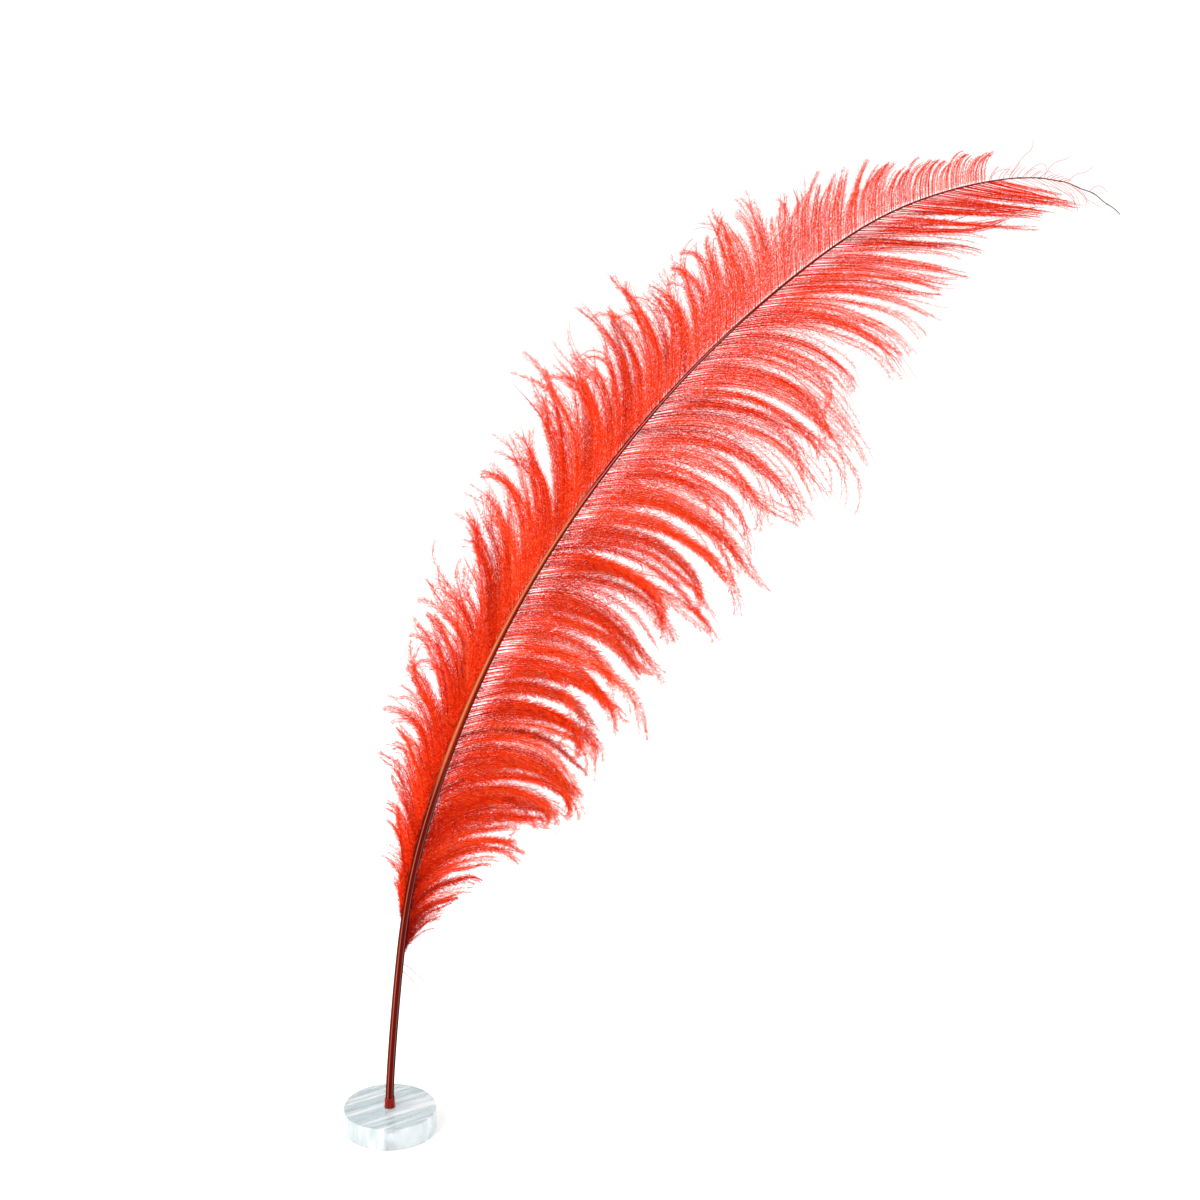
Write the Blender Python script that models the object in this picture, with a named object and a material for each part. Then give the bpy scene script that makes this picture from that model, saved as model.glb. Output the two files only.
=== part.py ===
"""Dyed ostrich plume standing in a round clear disc.

The plume is one curved shaft with a vane of soft barbs on each side. The shaft is a hollow quill, a
rachis with a foam core and a bare hair at its tip. Each vane is a row of locks, the tufts that the barbs
gather into. The quill's foot sits in a short sleeve, the sleeve in a blind hole in the disc, so the plume
turns in its sleeve and lifts out with it.

Frame: +Z up, origin at the centre of the disc's underside, the plume leaning to +X in the plane Y = 0.
"""

import math

import bmesh
import bpy

MM = 0.001

# Driving dimensions, in millimetres.
DISC_DIAMETER = 38.0
DISC_THICKNESS = 10.0
DISC_CHAMFER = 0.5
HOLE_DEPTH = 8.0
FIT_GAP = 0.3

QUILL_DIAMETER = 3.4
QUILL_BORE_RATIO = 0.68
SLEEVE_WALL = 0.45
SLEEVE_ABOVE_DISC = 4.5
PLUME_LENGTH = 533.0

# The shaft's lean from vertical, in degrees, at distances along it from the disc's top face.
SHAFT_LEAN = (
    (0, 0), (12, 4), (70, 7), (130, 16.5), (190, 23.5), (250, 31), (320, 39.5),
    (370, 47), (410, 53.5), (450, 70.5), (480, 84), (505, 110), (525, 135),
)
# The shaft's diameter along the same distances.
SHAFT_DIAMETER = ((0, 3.4), (125, 3.3), (190, 2.6), (250, 2.0), (355, 1.2), (410, 0.8), (480, 0.5), (525, 0.3))

QUILL_END = 62.0
RACHIS_END = 478.0
RACHIS_WALL_RATIO = 0.78
SHAFT_STEP = 8.0
SHAFT_SIDES = 16
TIP_SIDES = 8

# Each vane's barbs: distance along the shaft, the barb's heading from vertical at its root and at its tip
# (degrees, clockwise positive), and its length.
LEADING_BARBS = (
    (84, 2, -6, 20), (120, -6, -14, 32), (160, -6, -28, 44), (215, 4, -30, 51), (270, 6, -34, 52),
    (320, 6, -44, 46), (360, 2, -46, 34), (395, -6, -8, 23), (425, -8, 24, 19), (472, -14, 64, 10),
)
TRAILING_BARBS = (
    (70, 28, 58, 26), (100, 34, 108, 41), (130, 58, 130, 55), (165, 74, 148, 62), (215, 84, 156, 65),
    (270, 84, 154, 72), (325, 80, 148, 78), (360, 80, 142, 79), (390, 86, 108, 68), (420, 92, 82, 61),
    (450, 100, 86, 52), (478, 108, 104, 36),
)
LEADING_EDGES = (84, 116, 148, 180, 212, 244, 276, 308, 338, 368, 396, 422, 446, 472)
TRAILING_EDGES = (70, 96, 122, 150, 180, 210, 240, 270, 300, 330, 358, 384, 408, 432, 455, 478)
BARB_BEND = 1.5  # how late along its length a barb turns
BARB_BOW = 9.0  # how far the tips stand behind the shaft's plane
BARB_STEPS = 12
LOCK_THICKNESS = 0.3
LOCK_FILL = 0.9  # a lock's width over the space it has at its root
LOCK_TIP_FILL = 0.35
ROOT_GAP = 0.5

COLOURS = {
    "clear_glass": ((0.86, 0.94, 0.93), 0.05, 0.0),
    "sleeve_red": ((0.55, 0.06, 0.03), 0.3, 0.0),
    "quill_maroon": ((0.13, 0.008, 0.008), 0.3, 0.0),
    "pith": ((0.8, 0.32, 0.18), 0.9, 0.0),
    "vane_red": ((1.0, 0.045, 0.01), 0.8, 0.0),
}


def interpolate(stations, distance, column=1):
    """A smooth value between stations: cubic pieces whose slopes never overshoot."""
    first, last = stations[0], stations[-1]
    if distance <= first[0]:
        return first[column]
    if distance >= last[0]:
        return last[column]
    spans = [b[0] - a[0] for a, b in zip(stations, stations[1:])]
    rises = [(b[column] - a[column]) / (b[0] - a[0]) for a, b in zip(stations, stations[1:])]
    slopes = [rises[0]]
    for before, after in zip(rises, rises[1:]):
        slopes.append(0.0 if before * after <= 0 else 2 * before * after / (before + after))
    slopes.append(rises[-1])
    index = max(i for i, station in enumerate(stations[:-1]) if station[0] <= distance)
    span = spans[index]
    t = (distance - stations[index][0]) / span
    low, high = stations[index][column], stations[index + 1][column]
    return (
        low * (1 + 2 * t) * (1 - t) ** 2
        + slopes[index] * span * t * (1 - t) ** 2
        + high * t * t * (3 - 2 * t)
        + slopes[index + 1] * span * t * t * (t - 1)
    )


def shaft_line():
    """The shaft's centre line as (x, z) at every millimetre from the disc's top face."""
    points = [(0.0, DISC_THICKNESS)]
    for step in range(int(SHAFT_LEAN[-1][0])):
        lean = math.radians(interpolate(SHAFT_LEAN, step + 0.5))
        x, z = points[-1]
        points.append((x + math.sin(lean), z + math.cos(lean)))
    return points


LINE = shaft_line()


def shaft_point(distance):
    """(x, z) of the centre line; below the disc's top face the quill is straight down."""
    if distance <= 0:
        return 0.0, DISC_THICKNESS + distance
    whole = min(int(distance), len(LINE) - 2)
    part = distance - whole
    (x0, z0), (x1, z1) = LINE[whole], LINE[whole + 1]
    return x0 + (x1 - x0) * part, z0 + (z1 - z0) * part


def shaft_lean(distance):
    return math.radians(interpolate(SHAFT_LEAN, max(distance, 0.0)))


def shaft_radius(distance):
    return interpolate(SHAFT_DIAMETER, max(distance, 0.0)) / 2


def barb_line(stations, distance, side):
    """A barb's centre line as (x, y, z): it leaves the shaft's surface and turns towards its tip heading."""
    root = interpolate(stations, distance, 1)
    tip = interpolate(stations, distance, 2)
    length = interpolate(stations, distance, 3)
    x, z = shaft_point(distance)
    lean = shaft_lean(distance)
    offset = side * (shaft_radius(distance) + ROOT_GAP)
    x += offset * math.cos(lean)
    z -= offset * math.sin(lean)
    points = [(x, 0.0, z)]
    for step in range(BARB_STEPS):
        along = (step + 0.5) / BARB_STEPS
        heading = math.radians(root + (tip - root) * along**BARB_BEND)
        x += math.sin(heading) * length / BARB_STEPS
        z += math.cos(heading) * length / BARB_STEPS
        points.append((x, BARB_BOW * ((step + 1) / BARB_STEPS) ** 2, z))
    return points


def material(name):
    made = bpy.data.materials.get(name)
    if made:
        return made
    colour, roughness, metallic = COLOURS[name]
    made = bpy.data.materials.new(name)
    made.use_nodes = True
    shader = made.node_tree.nodes["Principled BSDF"]
    shader.inputs["Base Color"].default_value = (*colour, 1.0)
    shader.inputs["Roughness"].default_value = roughness
    shader.inputs["Metallic"].default_value = metallic
    return made


def add_object(name, rings, material_name, parent, closed=False, smooth=True):
    """An object skinned over rings of points. With closed, the last ring joins the first; else both
    ends are capped."""
    mesh = bmesh.new()
    loops = [[mesh.verts.new([c * MM for c in point]) for point in ring] for ring in rings]
    pairs = list(zip(loops, loops[1:]))
    if closed:
        pairs.append((loops[-1], loops[0]))
    count = len(loops[0])
    for low, high in pairs:
        for i in range(count):
            j = (i + 1) % count
            mesh.faces.new((low[i], low[j], high[j], high[i]))
    if not closed:
        mesh.faces.new(reversed(loops[0]))
        mesh.faces.new(loops[-1])
    bmesh.ops.recalc_face_normals(mesh, faces=mesh.faces)
    data = bpy.data.meshes.new(name)
    mesh.to_mesh(data)
    mesh.free()
    if smooth:
        data.shade_smooth()
        data.set_sharp_from_angle(angle=math.radians(40))
    data.materials.append(material(material_name))
    made = bpy.data.objects.new(name, data)
    bpy.context.scene.collection.objects.link(made)
    made.parent = parent
    return made


def add_axis(name, parent=None):
    """An empty on the hole's axis, which the moving pieces hang from."""
    axis = bpy.data.objects.new(name, None)
    bpy.context.scene.collection.objects.link(axis)
    axis.parent = parent
    return axis


def turned(profile, sides, centre=(0.0, 0.0)):
    """Rings of a (radius, z) profile turned about a vertical axis."""
    return [
        [
            (
                centre[0] + radius * math.cos(2 * math.pi * i / sides),
                centre[1] + radius * math.sin(2 * math.pi * i / sides),
                z,
            )
            for i in range(sides)
        ]
        for radius, z in profile
    ]


def shaft_ring(distance, radius, sides):
    """A ring round the shaft's centre line, square to it."""
    x, z = shaft_point(distance)
    lean = shaft_lean(distance)
    ring = []
    for i in range(sides):
        angle = 2 * math.pi * i / sides
        across = radius * math.cos(angle)
        ring.append((x + across * math.cos(lean), radius * math.sin(angle), z - across * math.sin(lean)))
    return ring


def distances(start, end, step):
    count = max(1, round((end - start) / step))
    return [start + (end - start) * i / count for i in range(count + 1)]


def add_disc():
    radius = DISC_DIAMETER / 2
    hole = QUILL_DIAMETER / 2 + FIT_GAP + SLEEVE_WALL + FIT_GAP
    floor = DISC_THICKNESS - HOLE_DEPTH
    profile = (
        (radius - DISC_CHAMFER, 0.0),
        (radius, DISC_CHAMFER),
        (radius, DISC_THICKNESS - DISC_CHAMFER),
        (radius - DISC_CHAMFER, DISC_THICKNESS),
        (hole, DISC_THICKNESS),
        (hole, floor),
    )
    add_object("base_disc", turned(profile, 64), "clear_glass", None)


def add_sleeve(parent):
    """The clear collar round the quill's foot, standing on the hole's floor."""
    inner = QUILL_DIAMETER / 2 + FIT_GAP
    outer = inner + SLEEVE_WALL
    foot = DISC_THICKNESS - HOLE_DEPTH + FIT_GAP
    top = DISC_THICKNESS + SLEEVE_ABOVE_DISC
    profile = ((inner, foot), (outer, foot), (outer, top), (inner, top))
    add_object("quill_sleeve", turned(profile, 32), "sleeve_red", parent, closed=True)


def add_hollow_shaft(name, start, end, solid_end, bore_ratio, material_name, parent, open_end):
    """A shaft section with a blind bore, open at its lower or its upper end."""
    outside = [shaft_ring(d, shaft_radius(d), SHAFT_SIDES) for d in distances(start, end, SHAFT_STEP)]
    bore_start, bore_end = (start, end - solid_end) if open_end == "lower" else (start + solid_end, end)
    bore = [
        shaft_ring(d, shaft_radius(d) * bore_ratio, SHAFT_SIDES)
        for d in distances(bore_start, bore_end, SHAFT_STEP)
    ]
    rings = bore[::-1] + outside if open_end == "lower" else outside + bore[::-1]
    add_object(name, rings, material_name, parent)


def add_solid_shaft(name, start, end, ratio, sides, material_name, parent):
    rings = [shaft_ring(d, shaft_radius(d) * ratio, sides) for d in distances(start, end, SHAFT_STEP)]
    add_object(name, rings, material_name, parent)


def add_shaft(parent):
    foot = DISC_THICKNESS + SHAFT_LEAN[-1][0] - PLUME_LENGTH
    quill_start = foot - DISC_THICKNESS + FIT_GAP
    add_hollow_shaft(
        "quill_barrel", quill_start, QUILL_END, 4.0, QUILL_BORE_RATIO, "quill_maroon", parent, "lower"
    )
    rachis_start = QUILL_END + FIT_GAP
    pith_end = RACHIS_END - 120.0
    add_hollow_shaft(
        "rachis_cortex", rachis_start, RACHIS_END, RACHIS_END - pith_end, RACHIS_WALL_RATIO,
        "quill_maroon", parent, "lower",
    )
    pith_ratio = RACHIS_WALL_RATIO - 0.14
    add_solid_shaft(
        "rachis_pith", rachis_start, pith_end - FIT_GAP, pith_ratio, SHAFT_SIDES, "pith", parent
    )
    add_solid_shaft(
        "bare_tip", RACHIS_END + FIT_GAP, SHAFT_LEAN[-1][0], 1.0, TIP_SIDES, "quill_maroon", parent
    )


def add_lock(name, stations, start, end, side, parent):
    """One tuft of barbs as a lens between the barbs at its two edges, thickest at its middle barb."""
    lines = [barb_line(stations, d, side) for d in (start, (start + end) / 2, end)]
    rings = []
    for step, (low, middle, high) in enumerate(zip(*lines)):
        along = step / BARB_STEPS
        fill = LOCK_FILL + (LOCK_TIP_FILL - LOCK_FILL) * along**2
        edges = [[m + (e - m) * fill for e, m in zip(edge, middle)] for edge in (low, high)]
        front = (middle[0], middle[1] - LOCK_THICKNESS / 2, middle[2])
        back = (middle[0], middle[1] + LOCK_THICKNESS / 2, middle[2])
        rings.append((edges[0], front, edges[1], back))
    add_object(name, rings, "vane_red", parent)


def add_vane(name, stations, edges, side, parent):
    for number, (start, end) in enumerate(zip(edges, edges[1:]), 1):
        add_lock(f"{name}_lock_{number:02d}", stations, start, end, side, parent)


def main():
    for old in list(bpy.data.objects):
        bpy.data.objects.remove(old, do_unlink=True)
    add_disc()
    lift_axis = add_axis("plume_lift_axis")
    turn_axis = add_axis("plume_turn_axis", lift_axis)
    add_sleeve(lift_axis)
    add_shaft(turn_axis)
    add_vane("leading", LEADING_BARBS, LEADING_EDGES, -1, turn_axis)
    add_vane("trailing", TRAILING_BARBS, TRAILING_EDGES, 1, turn_axis)


main()
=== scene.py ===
"""The looks of a dyed ostrich plume that stands in a round clear disc."""

import math

import bpy
import numpy as np
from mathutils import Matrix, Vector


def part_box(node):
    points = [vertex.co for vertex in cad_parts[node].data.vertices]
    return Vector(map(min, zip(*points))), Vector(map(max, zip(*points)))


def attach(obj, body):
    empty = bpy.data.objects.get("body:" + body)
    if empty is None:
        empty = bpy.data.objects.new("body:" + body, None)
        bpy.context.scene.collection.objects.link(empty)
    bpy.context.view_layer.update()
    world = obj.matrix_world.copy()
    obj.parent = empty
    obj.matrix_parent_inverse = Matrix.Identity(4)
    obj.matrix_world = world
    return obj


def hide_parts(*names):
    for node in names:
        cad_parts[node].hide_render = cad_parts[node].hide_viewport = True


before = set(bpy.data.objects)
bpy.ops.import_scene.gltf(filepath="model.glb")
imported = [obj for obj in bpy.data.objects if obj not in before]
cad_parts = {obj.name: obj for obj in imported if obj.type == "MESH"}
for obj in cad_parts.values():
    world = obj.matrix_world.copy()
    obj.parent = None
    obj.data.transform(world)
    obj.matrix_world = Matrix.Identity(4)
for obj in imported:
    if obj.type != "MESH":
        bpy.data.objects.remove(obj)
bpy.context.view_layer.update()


# ---- The view and the paper roll -----------------------------------------------------------------
# A long lens a little above the plume's tip looks down on the disc's top. The object stands on a roll
# of white background paper, wide enough that no edge of it is seen.

camera = bpy.data.objects.new("camera", bpy.data.cameras.new("camera"))
bpy.context.scene.collection.objects.link(camera)
camera.location = (0.0862, -1.0264, 0.5937)
camera.rotation_euler = (math.radians(70.5), 0.0, 0.0)
camera.data.lens = 85.0
bpy.context.scene.camera = camera
bpy.context.scene.view_settings.view_transform = "Standard"


def paint(hex_colour):
    """A linear colour with alpha from an sRGB hex value."""
    parts = [int(hex_colour[i : i + 2], 16) / 255 for i in (1, 3, 5)]
    return (*[p / 12.92 if p <= 0.04045 else ((p + 0.055) / 1.055) ** 2.4 for p in parts], 1.0)


def add_node(tree, kind, settings=(), links=()):
    """A node of that kind. Settings and links go by socket name or number, or by property name. The stops
    of a ramp are (place, hex colour) pairs."""
    node = tree.nodes.new(kind)
    for name, value in dict(settings).items():
        if name == "stops":
            ramp = node.color_ramp
            while len(ramp.elements) < len(value):
                ramp.elements.new(1.0)
            for element, (place, hex_colour) in zip(ramp.elements, value):
                element.position = place
                element.color = paint(hex_colour)
        elif isinstance(name, int) or name in node.inputs:
            node.inputs[name].default_value = value
        else:
            setattr(node, name, value)
    for name, source in dict(links).items():
        tree.links.new(source, node.inputs[name])
    return node


def new_finish(name, **values):
    """A material with one shader, and its tree. Values are the shader's own sockets, by name with _ for a
    space."""
    finish = bpy.data.materials.new(name)
    finish.use_nodes = True
    shader = finish.node_tree.nodes["Principled BSDF"]
    for socket, value in values.items():
        shader.inputs[socket.replace("_", " ")].default_value = value
    return finish, finish.node_tree, shader


MM = 0.001


def add_mesh(name, points, groups, finishes, values=None, layout=None):
    """A mesh object. Points are in millimetres. A group is (faces as rows of corner numbers, finish
    number), values are numbers kept at each point by name, and layout is each corner's place in the map
    that its colours are baked through."""
    mesh = bpy.data.meshes.new(name)
    corners = np.concatenate([faces.ravel() for faces, _ in groups]).astype(np.int32)
    sizes = np.concatenate([np.full(len(faces), faces.shape[1]) for faces, _ in groups])
    numbers = np.concatenate([np.full(len(faces), number) for faces, number in groups])
    mesh.vertices.add(len(points))
    mesh.vertices.foreach_set("co", (np.asarray(points) * MM).astype(np.float32).ravel())
    mesh.loops.add(len(corners))
    mesh.loops.foreach_set("vertex_index", corners)
    mesh.polygons.add(len(sizes))
    mesh.polygons.foreach_set("loop_start", (np.cumsum(sizes) - sizes).astype(np.int32))
    mesh.polygons.foreach_set("material_index", numbers.astype(np.int32))
    mesh.polygons.foreach_set("use_smooth", np.full(len(sizes), True))
    mesh.update(calc_edges=True)
    for key, value in (values or {}).items():
        mesh.attributes.new(key, "FLOAT", "POINT").data.foreach_set("value", value.astype(np.float32))
    if layout is not None:
        mesh.uv_layers.new(name="OFBake").data.foreach_set("uv", layout.astype(np.float32).ravel())
    for finish in finishes:
        mesh.materials.append(finish)
    made = bpy.data.objects.new(name, mesh)
    bpy.context.scene.collection.objects.link(made)
    return made


# Matt paper: a soft white with a faint cloudiness from its pulp, about 40 mm across.
paper, tree, shader = new_finish("matt_background_paper", Roughness=0.9, Specular_IOR_Level=0.2)
place = add_node(tree, "ShaderNodeTexCoord")
cloud = add_node(
    tree,
    "ShaderNodeTexNoise",
    {"Scale": 25.0, "Detail": 3.0},
    {"Vector": place.outputs["Object"]},
)
shade = add_node(
    tree,
    "ShaderNodeValToRGB",
    {"stops": ((0.3, "#EEEEED"), (0.7, "#F1F1F0"))},
    {"Fac": cloud.outputs["Fac"]},
)
tree.links.new(shade.outputs["Color"], shader.inputs["Base Color"])

# The paper reaches 20 m each way, and lies a hair under the disc so that the two faces stay apart.
PAPER_REACH = 20000
PAPER_TOP = -0.05
paper_corners = [
    (-PAPER_REACH, -PAPER_REACH, PAPER_TOP),
    (PAPER_REACH, -PAPER_REACH, PAPER_TOP),
    (PAPER_REACH, PAPER_REACH, PAPER_TOP),
    (-PAPER_REACH, PAPER_REACH, PAPER_TOP),
]
floor = add_mesh(
    "paper_roll",
    paper_corners,
    [(np.array([[0, 1, 2, 3]]), 0)],
    [paper],
)


# ---- The disc ------------------------------------------------------------------------------------
# A puck of clear pressed glass, 38 mm across and 10 mm thick, with fire-polished edges. A blind hole in
# its middle takes the plume's foot.

disc_low, disc_high = [np.array(corner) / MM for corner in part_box("base_disc")]
DISC_RADIUS = (disc_high[0] - disc_low[0]) / 2
DISC_TOP = disc_high[2]
# The hole is slimmer than in the CAD, where solids that touch have to keep a gap.
HOLE_RADIUS = 2.3
HOLE_FLOOR = 2.0


def arc(centre, radius, start, end, steps):
    """Points (r, z) on an arc from one angle to another, in degrees."""
    angles = np.radians(np.linspace(start, end, steps + 1))
    return [(centre[0] + radius * math.cos(a), centre[1] + radius * math.sin(a)) for a in angles]


def skin(rings, sides, closed=False):
    """Four-sided faces between rings of points that follow each other. With closed, the last meets the
    first."""
    ring = np.arange(rings if closed else rings - 1)[:, None]
    side = np.arange(sides)[None, :]
    after, beside = (ring + 1) % rings, (side + 1) % sides
    corners = [ring * sides + side, ring * sides + beside, after * sides + beside, after * sides + side]
    return np.stack(np.broadcast_arrays(*corners), axis=-1).reshape(-1, 4)


def turn(profile, sides):
    """Points of an (r, z) profile turned about the upright axis."""
    angles = 2 * np.pi * np.arange(sides) / sides
    profile = np.asarray(profile)
    radius, height = profile[:, :1], profile[:, 1:]
    rings = [radius * np.cos(angles), radius * np.sin(angles), height + 0 * angles]
    return np.stack(rings, axis=-1).reshape(-1, 3)


RIM_ROUND = 0.6
MOUTH_ROUND = 0.25
FLOOR_ROUND = 0.3
TOP_FACE_START = HOLE_RADIUS + 0.3
TOP_FACE_WIDTH = DISC_RADIUS - HOLE_RADIUS - 1.2
# From the middle of the underside, round the rim, over the top and down the hole to its floor.
profile = (
    [(DISC_RADIUS * k / 6, 0.0) for k in (0.02, 1, 2, 3, 4, 5)]
    + arc((DISC_RADIUS - RIM_ROUND, RIM_ROUND), RIM_ROUND, -90, 0, 6)
    + [(DISC_RADIUS, DISC_TOP * k / 5) for k in (1, 2, 3, 4)]
    + arc((DISC_RADIUS - RIM_ROUND, DISC_TOP - RIM_ROUND), RIM_ROUND, 0, 90, 6)
    + [(TOP_FACE_START + TOP_FACE_WIDTH * k / 6, DISC_TOP) for k in (5, 4, 3, 2, 1)]
    + arc((HOLE_RADIUS + MOUTH_ROUND, DISC_TOP - MOUTH_ROUND), MOUTH_ROUND, 90, 180, 4)
    + [(HOLE_RADIUS, height) for height in (8.0, 6.0, 4.0, 2.4)]
    + arc((HOLE_RADIUS - FLOOR_ROUND, HOLE_FLOOR + FLOOR_ROUND), FLOOR_ROUND, 0, -90, 3)
    + [(0.02, HOLE_FLOOR)]
)
DISC_SIDES = 192
disc_points = turn(profile, DISC_SIDES)
last = len(disc_points)
disc_faces = skin(len(profile), DISC_SIDES)
disc_caps = np.array([np.arange(DISC_SIDES)[::-1], np.arange(last - DISC_SIDES, last)])

# Pressed glass: cloudy, with a cool blue-grey depth. Pale streaks, about 2 mm wide and far longer, run
# aslant across it. The polished rim is clearer and whiter than the top.
glass, tree, shader = new_finish(
    "pressed_clear_glass", Roughness=0.12, IOR=1.5, Transmission_Weight=0.68
)
# The streaks' angle from the disc's left-to-right line in degrees, and their length, width and depth in
# metres.
STREAK_TURN = 33.0
STREAK_SIZE = (0.045, 0.0021, 0.02)
place = add_node(tree, "ShaderNodeTexCoord")
drawn = add_node(
    tree,
    "ShaderNodeMapping",
    {
        "vector_type": "TEXTURE",
        "Rotation": (0.0, 0.0, math.radians(STREAK_TURN)),
        "Scale": STREAK_SIZE,
    },
    {"Vector": place.outputs["Object"]},
)
streak = add_node(
    tree,
    "ShaderNodeTexNoise",
    {"Scale": 1.0, "Detail": 4.0, "Roughness": 0.62},
    {"Vector": drawn.outputs[0]},
)
tint = add_node(
    tree,
    "ShaderNodeValToRGB",
    {"stops": ((0.34, "#B4C3C8"), (0.46, "#CBD7DA"), (0.54, "#DBE3E5"), (0.6, "#FFFFFF"))},
    {"Fac": streak.outputs["Fac"]},
)
# The rim's whiteness ends just below the top, between these heights in metres.
RIM_FADES = (0.0092, 0.0098)
place_parts = add_node(tree, "ShaderNodeSeparateXYZ", {}, {"Vector": place.outputs["Object"]})
rim = add_node(
    tree,
    "ShaderNodeMapRange",
    {"From Min": RIM_FADES[0], "From Max": RIM_FADES[1], "To Min": 0.25, "To Max": 0.0},
    {"Value": place_parts.outputs["Z"]},
)
polished = add_node(
    tree,
    "ShaderNodeMix",
    {"data_type": "RGBA", 7: paint("#FFFFFF")},
    {0: rim.outputs["Result"], 6: tint.outputs["Color"]},
)
tree.links.new(polished.outputs[2], shader.inputs["Base Color"])
ripple = add_node(
    tree,
    "ShaderNodeBump",
    {"Strength": 0.35, "Distance": 0.0003},
    {"Height": streak.outputs["Fac"]},
)
tree.links.new(ripple.outputs["Normal"], shader.inputs["Normal"])

disc = add_mesh("clear_disc", disc_points, [(disc_faces, 0), (disc_caps, 0)], [glass])
disc.data.set_sharp_from_angle(angle=math.radians(50))
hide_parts("base_disc")
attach(disc, "base")


# ---- The sleeve ----------------------------------------------------------------------------------
# A short soft-vinyl collar, slipped over the plume's foot so that it sits snugly in the hole. The dye
# has stained it a lighter red than the quill.

sleeve_low, sleeve_high = [np.array(corner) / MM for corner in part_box("quill_sleeve")]
# Its radius is this much less than its CAD solid's, so that it goes in the slimmer hole.
SLEEVE_TAKEN_IN = 0.33
SLEEVE_WALL = 0.34
SLEEVE_SIDES = 72
SLEEVE_OUTER = (sleeve_high[0] - sleeve_low[0]) / 2 - SLEEVE_TAKEN_IN
SLEEVE_INNER = SLEEVE_OUTER - SLEEVE_WALL
lip = (SLEEVE_OUTER - SLEEVE_INNER) / 2
middle = SLEEVE_OUTER - lip
low_lip, high_lip = sleeve_low[2] + lip, sleeve_high[2] - lip
heights = np.linspace(low_lip, high_lip, 25)[1:-1]
profile = (
    arc((middle, low_lip), lip, -180, 0, 8)
    + [(SLEEVE_OUTER, h) for h in heights]
    + arc((middle, high_lip), lip, 0, 180, 8)
    + [(SLEEVE_INNER, h) for h in heights[::-1]]
)
sleeve_points = turn(profile, SLEEVE_SIDES)
# Its mouth, the last 3 mm from this height up, narrows to hug the quill, and it was cut a little aslant.
MOUTH_FROM = 11.5
MOUTH_LENGTH = 3.0
mouth = np.clip((sleeve_points[:, 2] - MOUTH_FROM) / MOUTH_LENGTH, 0, 1)[:, None]
sleeve_points[:, :2] *= 1 - 0.03 * mouth**1.5
sleeve_points[:, 2] += (sleeve_points[:, 0] * 0.22 - 0.35) * mouth[:, 0] ** 3

# Soft vinyl: lets a little light through, with cloudy dye that settled in runs about 1 mm wide.
vinyl, tree, shader = new_finish(
    "dyed_soft_vinyl", Roughness=0.3, IOR=1.53, Specular_IOR_Level=0.1, Transmission_Weight=0.1
)
place = add_node(tree, "ShaderNodeTexCoord")
runs = add_node(
    tree,
    "ShaderNodeMapping",
    {"Scale": (900.0, 900.0, 180.0)},
    {"Vector": place.outputs["Object"]},
)
cloud = add_node(
    tree, "ShaderNodeTexNoise", {"Scale": 1.0, "Detail": 3.0}, {"Vector": runs.outputs[0]}
)
dye = add_node(
    tree,
    "ShaderNodeValToRGB",
    {"stops": ((0.32, "#600C04"), (0.5, "#7C1606"), (0.7, "#942610"))},
    {"Fac": cloud.outputs["Fac"]},
)
tree.links.new(dye.outputs["Color"], shader.inputs["Base Color"])

sleeve_faces = skin(len(profile), SLEEVE_SIDES, closed=True)
sleeve = add_mesh("foot_sleeve", sleeve_points, [(sleeve_faces, 0)], [vinyl])
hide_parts("quill_sleeve")
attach(sleeve, "sleeve")


# ---- The quill barrel ----------------------------------------------------------------------------
# The plume's bare foot: a hollow tube of keratin, dyed through and cut off square. It is the first part
# of one shaft, which leans over and thins towards its tip.

# Pairs of distance along the shaft from the disc's top and lean from upright in degrees, then pairs of
# that distance and the shaft's thickness, in millimetres.
SHAFT_LEAN = (
    (0, 0), (12, 4), (70, 7), (130, 16.5), (190, 23.5), (250, 31), (320, 39.5),
    (370, 47), (410, 53.5), (450, 70.5), (480, 84), (505, 110), (525, 135),
)
SHAFT_DIAMETER = (
    (0, 3.4), (125, 3.3), (190, 2.6), (250, 2.0), (355, 1.2), (410, 0.8), (480, 0.5), (525, 0.3),
)
SHAFT_END = 525.0
QUILL_START = -7.7
QUILL_END = 62.15
# The quill is hollow up to this distance, and filled from there to its end.
QUILL_BORE_END = 58.0


def between(stations, distance, column=1):
    """Smooth values between stations: cubic pieces whose slopes never overshoot."""
    table = np.asarray(stations, float)
    at, value = table[:, 0], table[:, column]
    rise = np.diff(value) / np.diff(at)
    before, after = rise[:-1], rise[1:]
    total = np.where(before + after == 0, 1, before + after)
    both = np.where(before * after > 0, 2 * before * after / total, 0)
    slope = np.concatenate([rise[:1], both, rise[-1:]])
    d = np.clip(np.asarray(distance, float), at[0], at[-1])
    k = np.clip(np.searchsorted(at, d, side="right") - 1, 0, len(at) - 2)
    span = at[k + 1] - at[k]
    t = (d - at[k]) / span
    return (
        value[k] * (1 + 2 * t) * (1 - t) ** 2
        + slope[k] * span * t * (1 - t) ** 2
        + value[k + 1] * t * t * (3 - 2 * t)
        + slope[k + 1] * span * t * t * (t - 1)
    )


lean_steps = np.radians(between(SHAFT_LEAN, np.arange(SHAFT_END) + 0.5))
SHAFT_X = np.concatenate([[0.0], np.cumsum(np.sin(lean_steps))])
SHAFT_Z = np.concatenate([[0.0], np.cumsum(np.cos(lean_steps))]) + DISC_TOP


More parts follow.
